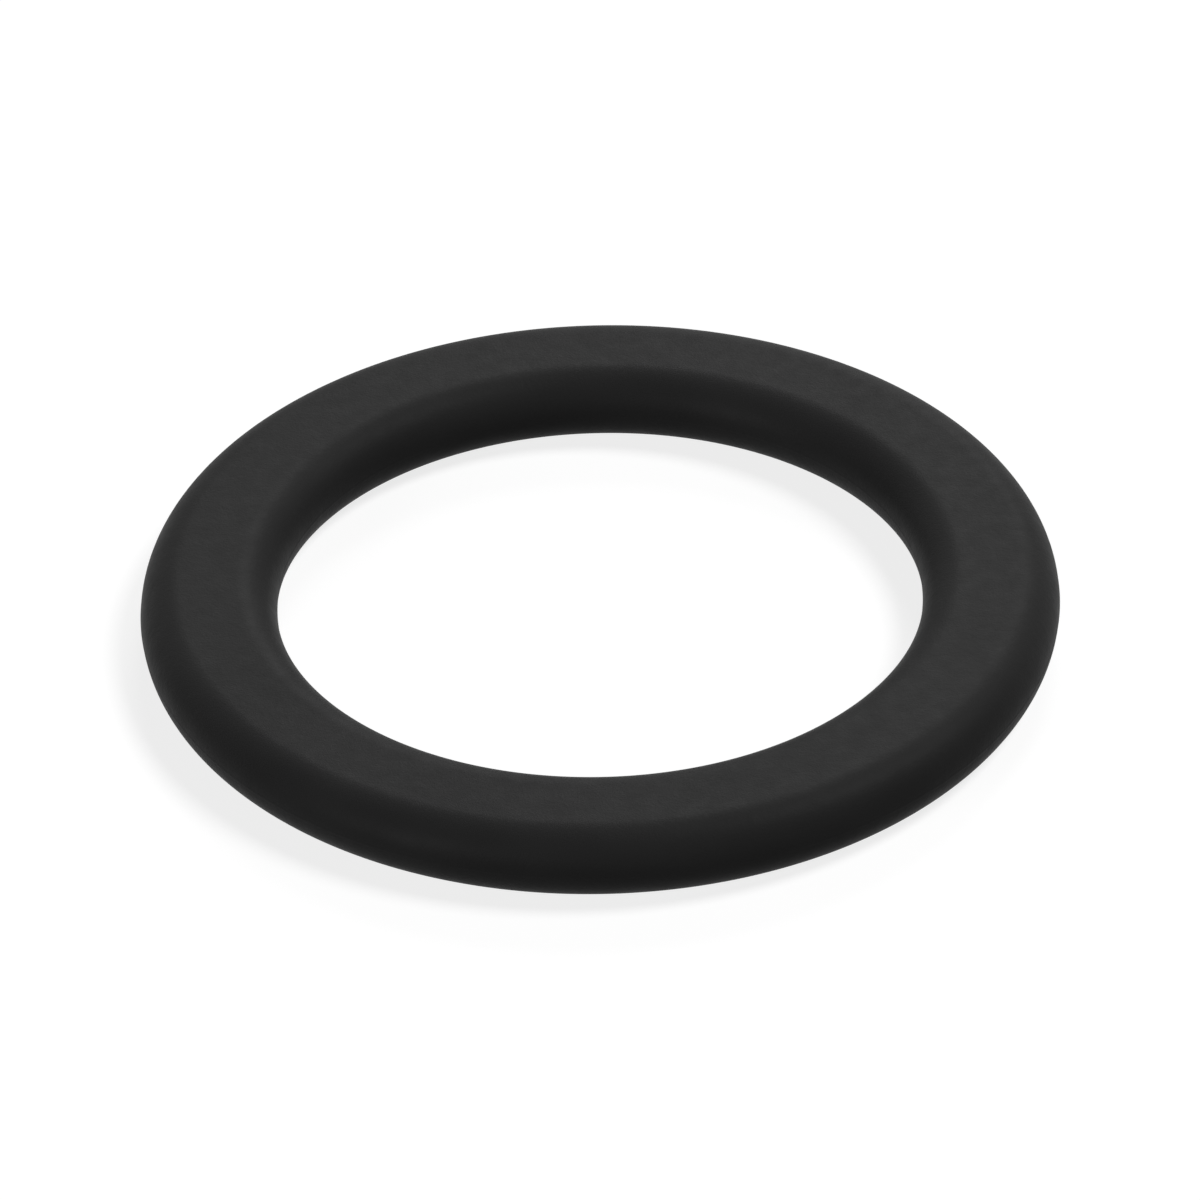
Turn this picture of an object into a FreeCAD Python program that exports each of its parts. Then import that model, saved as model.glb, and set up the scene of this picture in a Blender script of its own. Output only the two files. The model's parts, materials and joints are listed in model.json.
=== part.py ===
"""A rubber sealing ring, moulded in one piece: flat above and below, with full-round inner and outer edges.

The ring lies flat. Its origin is the centre of the ring, on the axis and midway between the two flat faces,
and +Z runs along the axis. All sizes are in millimetres.
"""

import FreeCAD, Part
import os

# The hole, measured between the innermost points of its rounded edge.
inside_diameter = 24.6

# The section: its width along the ring's radius, which is more than its height, and the height between the flat faces.
section_width = 5.2
section_height = 3.0

# The inner and outer edges are half circles as high as the section, and the flat faces take the width between them.
edge_radius = section_height / 2
flat_width = section_width - 2 * edge_radius

# The circle that the middle of the section follows.
centreline_radius = (inside_diameter + section_width) / 2


def section_point(outwards, upwards):
    """A point of the section, given from the section's middle."""
    return FreeCAD.Vector(centreline_radius + outwards, 0, upwards)


def ring_section():
    """The section as a face: two half circles, joined by the straight lines of the flat faces."""
    outer_top = section_point(flat_width / 2, edge_radius)
    outer_bottom = section_point(flat_width / 2, -edge_radius)
    inner_top = section_point(-flat_width / 2, edge_radius)
    inner_bottom = section_point(-flat_width / 2, -edge_radius)
    outermost = section_point(section_width / 2, 0)
    innermost = section_point(-section_width / 2, 0)
    outline = [
        Part.Arc(outer_bottom, outermost, outer_top),
        Part.LineSegment(outer_top, inner_top),
        Part.Arc(inner_top, innermost, inner_bottom),
        Part.LineSegment(inner_bottom, outer_bottom),
    ]
    return Part.Face(Part.Wire([line.toShape() for line in outline]))


def o_ring():
    """The whole ring: its section, turned once round the axis."""
    centre = FreeCAD.Vector(0, 0, 0)
    axis = FreeCAD.Vector(0, 0, 1)
    return ring_section().revolve(centre, axis, 360)


os.makedirs("parts", exist_ok=True)
ring = o_ring()
ring.exportStep("parts/o_ring.step")

box = ring.optimalBoundingBox(False)
print("o_ring", round(box.XLength, 3), "by", round(box.YLength, 3), "by", round(box.ZLength, 3), "mm")
print("volume", round(ring.Volume, 2), "cubic mm, valid:", ring.isValid())
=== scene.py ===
import json
import math

import bmesh
import bpy
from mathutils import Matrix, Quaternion, Vector


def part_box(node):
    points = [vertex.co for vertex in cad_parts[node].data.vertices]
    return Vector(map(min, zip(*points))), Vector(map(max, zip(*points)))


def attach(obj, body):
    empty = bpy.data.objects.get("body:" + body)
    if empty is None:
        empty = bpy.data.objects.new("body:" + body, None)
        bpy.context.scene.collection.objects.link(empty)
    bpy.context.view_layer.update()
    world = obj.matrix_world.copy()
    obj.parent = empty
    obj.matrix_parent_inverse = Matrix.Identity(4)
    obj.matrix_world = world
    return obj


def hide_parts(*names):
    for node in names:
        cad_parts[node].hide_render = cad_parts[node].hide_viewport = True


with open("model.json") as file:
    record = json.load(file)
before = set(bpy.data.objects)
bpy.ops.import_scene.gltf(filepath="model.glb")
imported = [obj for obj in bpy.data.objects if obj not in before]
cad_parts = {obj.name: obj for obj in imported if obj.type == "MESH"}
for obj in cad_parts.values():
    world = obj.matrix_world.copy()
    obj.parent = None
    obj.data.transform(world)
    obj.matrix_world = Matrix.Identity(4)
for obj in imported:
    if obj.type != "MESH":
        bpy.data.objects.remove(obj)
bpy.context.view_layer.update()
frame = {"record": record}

# The sealing ring
# One piece of black nitrile rubber, pressed to shape and cured between the two halves of a mould.
# It has no core and no joint: it lies on its lower flat face, and nothing is fixed to it.

MILLIMETRE = 0.001

edge_sizes = {mount["name"]: mount["dims"] for mount in frame["record"]["mounts"]}
ring_inner_radius = edge_sizes["inner_edge"]["r_mm"] * MILLIMETRE
ring_outer_radius = edge_sizes["outer_edge"]["r_mm"] * MILLIMETRE
ring_lowest, ring_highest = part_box("o_ring")
section_width = ring_outer_radius - ring_inner_radius
section_height = ring_highest.z - ring_lowest.z
centreline_radius = (ring_inner_radius + ring_outer_radius) / 2
middle_level = (ring_lowest.z + ring_highest.z) / 2

parting_line_width = 0.1 * MILLIMETRE
parting_line_height = 0.012 * MILLIMETRE

corner_steps = 24
flat_steps = 16
parting_line_steps = 2
ring_steps = 480
same_place = section_height * 1e-4


def choose_points(piece, is_wanted):
    """In edit mode, selects only the points that is_wanted says yes to, and the edges between them."""
    bpy.ops.mesh.select_all(action="DESELECT")
    mesh = bmesh.from_edit_mesh(piece.data)
    for point in mesh.verts:
        if is_wanted(point.co):
            point.select_set(True)
    mesh.select_flush(True)
    bmesh.update_edit_mesh(piece.data)


def is_middle_of_edge(place, outwards):
    """Says whether a point of the section is at mid-height of the outer edge (1) or the inner edge (-1)."""
    return abs(place.z - middle_level) < same_place and (place.x - centreline_radius) * outwards > 0


bpy.ops.object.select_all(action="DESELECT")
section_place = (centreline_radius, 0, middle_level)
bpy.ops.mesh.primitive_plane_add(size=1, location=section_place, rotation=(math.pi / 2, 0, 0))
ring = bpy.context.object
ring.name = ring.data.name = "rubber_ring"
ring.scale = (section_width, section_height, 1)
bpy.ops.object.transform_apply(location=True, rotation=True, scale=True)

# The section is an outline, as high as the ring. Its corners are rounded by half its height,
# so both edges are full round, and its two flats are divided.
bpy.ops.object.mode_set(mode="EDIT")
bpy.ops.mesh.delete(type="ONLY_FACE")
bpy.ops.mesh.select_all(action="SELECT")
bpy.ops.mesh.bevel(offset=section_height / 2, segments=corner_steps, affect="VERTICES")
bpy.ops.mesh.select_all(action="SELECT")
bpy.ops.mesh.remove_doubles(threshold=same_place)
for level in (ring_highest.z, ring_lowest.z):
    choose_points(ring, lambda place: abs(place.z - level) < same_place)
    bpy.ops.mesh.subdivide(number_cuts=flat_steps - 1)

# A hairline of rubber stays at mid-height on both edges, where the halves of the mould met.
for outwards in (1, -1):
    choose_points(ring, lambda place: is_middle_of_edge(place, outwards))
    bpy.ops.mesh.bevel(offset=parting_line_width / 2, segments=parting_line_steps, affect="VERTICES")
    choose_points(ring, lambda place: is_middle_of_edge(place, outwards))
    bpy.ops.transform.translate(value=(outwards * parting_line_height, 0, 0))

# The section is turned once round the axis, and the seam where it meets itself is closed.
bpy.ops.mesh.select_all(action="SELECT")
bpy.ops.mesh.spin(steps=ring_steps, angle=math.tau, center=(0, 0, 0), axis=(0, 0, 1))
bpy.ops.mesh.select_all(action="SELECT")
bpy.ops.mesh.remove_doubles(threshold=same_place)
bpy.ops.mesh.normals_make_consistent(inside=False)
bpy.ops.object.mode_set(mode="OBJECT")
bpy.ops.object.shade_smooth()

# The finish is near black and satin, with the fine grain that the mould leaves.
# Its shade and its gloss are a little uneven.
shade_darkest, shade_palest = 0.0145, 0.0175
shade_patch, shade_detail = 4 * MILLIMETRE, 3
gloss_strength = 0.04
gloss_smoothest, gloss_roughest = 0.49, 0.55
gloss_patch, gloss_detail = 0.7 * MILLIMETRE, 4
grain_size, grain_depth = 0.22 * MILLIMETRE, 0.0035 * MILLIMETRE
fine_grain_size, fine_grain_depth = 0.07 * MILLIMETRE, 0.003 * MILLIMETRE
grain_detail = 2

rubber = bpy.data.materials.new("black_nitrile_rubber")
rubber.use_nodes = True
rubber_nodes = rubber.node_tree.nodes
rubber_links = rubber.node_tree.links
rubber_surface = rubber_nodes["Principled BSDF"]
rubber_surface.inputs["Specular IOR Level"].default_value = gloss_strength
place_on_ring = rubber_nodes.new("ShaderNodeTexCoord")


def uneven(patch_size, detail, lowest, highest):
    """A number that wanders between two values over the rubber, in patches of about this size."""
    usual_lowest, usual_highest = 0.3, 0.7
    noise = rubber_nodes.new("ShaderNodeTexNoise")
    noise.inputs["Scale"].default_value = 1 / patch_size
    noise.inputs["Detail"].default_value = detail
    rubber_links.new(place_on_ring.outputs["Object"], noise.inputs["Vector"])
    spread = rubber_nodes.new("ShaderNodeMapRange")
    spread.inputs["From Min"].default_value = usual_lowest
    spread.inputs["From Max"].default_value = usual_highest
    spread.inputs["To Min"].default_value = lowest
    spread.inputs["To Max"].default_value = highest
    rubber_links.new(noise.outputs["Fac"], spread.inputs["Value"])
    return spread.outputs["Result"]


def grain(size, depth):
    """A fine unevenness of the surface itself, as a bump node."""
    bump = rubber_nodes.new("ShaderNodeBump")
    bump.inputs["Distance"].default_value = depth
    rubber_links.new(uneven(size, grain_detail, 0, 1), bump.inputs["Height"])
    return bump


coarse_grain = grain(grain_size, grain_depth)
fine_grain = grain(fine_grain_size, fine_grain_depth)
shade = uneven(shade_patch, shade_detail, shade_darkest, shade_palest)
roughness = uneven(gloss_patch, gloss_detail, gloss_smoothest, gloss_roughest)
rubber_links.new(coarse_grain.outputs["Normal"], fine_grain.inputs["Normal"])
rubber_links.new(fine_grain.outputs["Normal"], rubber_surface.inputs["Normal"])
rubber_links.new(shade, rubber_surface.inputs["Base Color"])
rubber_links.new(roughness, rubber_surface.inputs["Roughness"])
ring.data.materials.append(rubber)

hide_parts("o_ring")
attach(ring, "root")

# The table
# A plain, round white top that the ring lies on, and that keeps its soft shadow.
# The camera and the reflections see it glow white, and only a little lamp light comes back from it.

table_radius = 0.25
table_steps = 96
table_glow = 0.8
table_paint_shade = 0.27
table_unseen_shade = 0.1

bpy.ops.object.select_all(action="DESELECT")
table_place = (0, 0, ring_lowest.z)
bpy.ops.mesh.primitive_circle_add(
    vertices=table_steps, radius=table_radius, fill_type="NGON", location=table_place)
table = bpy.context.object
table.name = table.data.name = "white_table"


def grey(level):
    """The colour of a plain grey: 0 is black and 1 is white."""
    return (level, level, level, 1)


def is_seen(tree):
    """1 for the camera, a reflection and a view through glass, and 0 for light that falls elsewhere."""
    path = tree.nodes.new("ShaderNodeLightPath")
    camera_or_glossy = tree.nodes.new("ShaderNodeMath")
    camera_or_glossy.operation = "MAXIMUM"
    tree.links.new(path.outputs["Is Camera Ray"], camera_or_glossy.inputs[0])
    tree.links.new(path.outputs["Is Glossy Ray"], camera_or_glossy.inputs[1])
    any_of_three = tree.nodes.new("ShaderNodeMath")
    any_of_three.operation = "MAXIMUM"
    tree.links.new(camera_or_glossy.outputs["Value"], any_of_three.inputs[0])
    tree.links.new(path.outputs["Is Transmission Ray"], any_of_three.inputs[1])
    return any_of_three.outputs["Value"]


table_top = bpy.data.materials.new("white_table_top")
table_top.use_nodes = True
table_top.cycles.emission_sampling = "NONE"
table_nodes = table_top.node_tree.nodes
table_links = table_top.node_tree.links
table_nodes.remove(table_nodes["Principled BSDF"])
white_glow = table_nodes.new("ShaderNodeEmission")
white_glow.inputs["Color"].default_value = grey(table_glow)
shadowed_paint = table_nodes.new("ShaderNodeBsdfDiffuse")
shadowed_paint.inputs["Color"].default_value = grey(table_paint_shade)
seen_top = table_nodes.new("ShaderNodeAddShader")
table_links.new(white_glow.outputs["Emission"], seen_top.inputs[0])
table_links.new(shadowed_paint.outputs["BSDF"], seen_top.inputs[1])
unseen_top = table_nodes.new("ShaderNodeBsdfDiffuse")
unseen_top.inputs["Color"].default_value = grey(table_unseen_shade)
top_mix = table_nodes.new("ShaderNodeMixShader")
table_links.new(is_seen(table_top.node_tree), top_mix.inputs["Fac"])
table_links.new(unseen_top.outputs["BSDF"], top_mix.inputs[1])
table_links.new(seen_top.outputs["Shader"], top_mix.inputs[2])
table_links.new(top_mix.outputs["Shader"], table_nodes["Material Output"].inputs["Surface"])
table.data.materials.append(table_top)

# The room
# White walls all round, far away, which the camera and the reflections see.
# Hardly any of the light that falls on the ring and the table comes from them.

wall_seen_shade = 1
wall_unseen_shade = 0.02

room = bpy.data.worlds.new("white_room")
room.use_nodes = True
room.cycles.sampling_method = "NONE"
room_nodes = room.node_tree.nodes
room_links = room.node_tree.links
unseen_walls = room_nodes["Background"]
unseen_walls.inputs["Color"].default_value = grey(wall_unseen_shade)
seen_walls = room_nodes.new("ShaderNodeBackground")
seen_walls.inputs["Color"].default_value = grey(wall_seen_shade)
wall_mix = room_nodes.new("ShaderNodeMixShader")
room_links.new(is_seen(room.node_tree), wall_mix.inputs["Fac"])
room_links.new(unseen_walls.outputs["Background"], wall_mix.inputs[1])
room_links.new(seen_walls.outputs["Background"], wall_mix.inputs[2])
room_links.new(wall_mix.outputs["Shader"], room_nodes["World Output"].inputs["Surface"])
bpy.context.scene.world = room

# The lamps
# Three round softboxes, all aimed at the ring from the same distance.
# They stand high on the right, low on the left in front, and behind.

softbox_distance = 2
softbox_diameter = 0.8


def direction_to(azimuth, elevation):
    """The direction from the ring, in degrees: as the camera sees it, azimuth 0 is right and 90 behind."""
    turn, lift = math.radians(azimuth), math.radians(elevation)
    return Vector((math.cos(turn) * math.cos(lift), math.sin(turn) * math.cos(lift), math.sin(lift)))


def add_softbox(name, azimuth, elevation, watts):
    """Adds a softbox in this direction from the ring, turned to face it, which the camera doesn't see."""
    lamp = bpy.data.lights.new(name, "AREA")
    lamp.shape = "DISK"
    lamp.size = softbox_diameter
    lamp.energy = watts
    softbox = bpy.data.objects.new(name, lamp)
    direction = direction_to(azimuth, elevation)
    softbox.location = direction * softbox_distance
    softbox.rotation_mode = "QUATERNION"
    softbox.rotation_quaternion = direction.to_track_quat("Z", "Y")
    softbox.visible_camera = False
    bpy.context.scene.collection.objects.link(softbox)


add_softbox("softbox_right", azimuth=6, elevation=57, watts=27)
add_softbox("softbox_left", azimuth=225, elevation=14, watts=19)
add_softbox("softbox_behind", azimuth=80, elevation=34, watts=15)

# The camera
# A long lens in front of the ring, about eleven ring diameters away.
# It looks down at the ring's centre, and its picture is turned a little.

picture_pixels = 1200
ring_pixels = 918.6
camera_azimuth = 270
camera_elevation = 35.64
camera_roll = -1.474
camera_distance_in_rings = 10.92

ring_diameter = 2 * ring_outer_radius
camera_distance = camera_distance_in_rings * ring_diameter
camera_direction = direction_to(camera_azimuth, camera_elevation)
camera_data = bpy.data.cameras.new("camera")
lens_for_full_width = camera_data.sensor_width * camera_distance / ring_diameter
camera_data.lens = lens_for_full_width * ring_pixels / picture_pixels
camera = bpy.data.objects.new("camera", camera_data)
camera.location = Vector((0, 0, middle_level)) + camera_direction * camera_distance
camera.rotation_mode = "QUATERNION"
level_view = camera_direction.to_track_quat("Z", "Y")
camera.rotation_quaternion = level_view @ Quaternion((0, 0, 1), math.radians(camera_roll))
bpy.context.scene.collection.objects.link(camera)
bpy.context.scene.camera = camera

bpy.context.scene.view_settings.view_transform = "Standard"
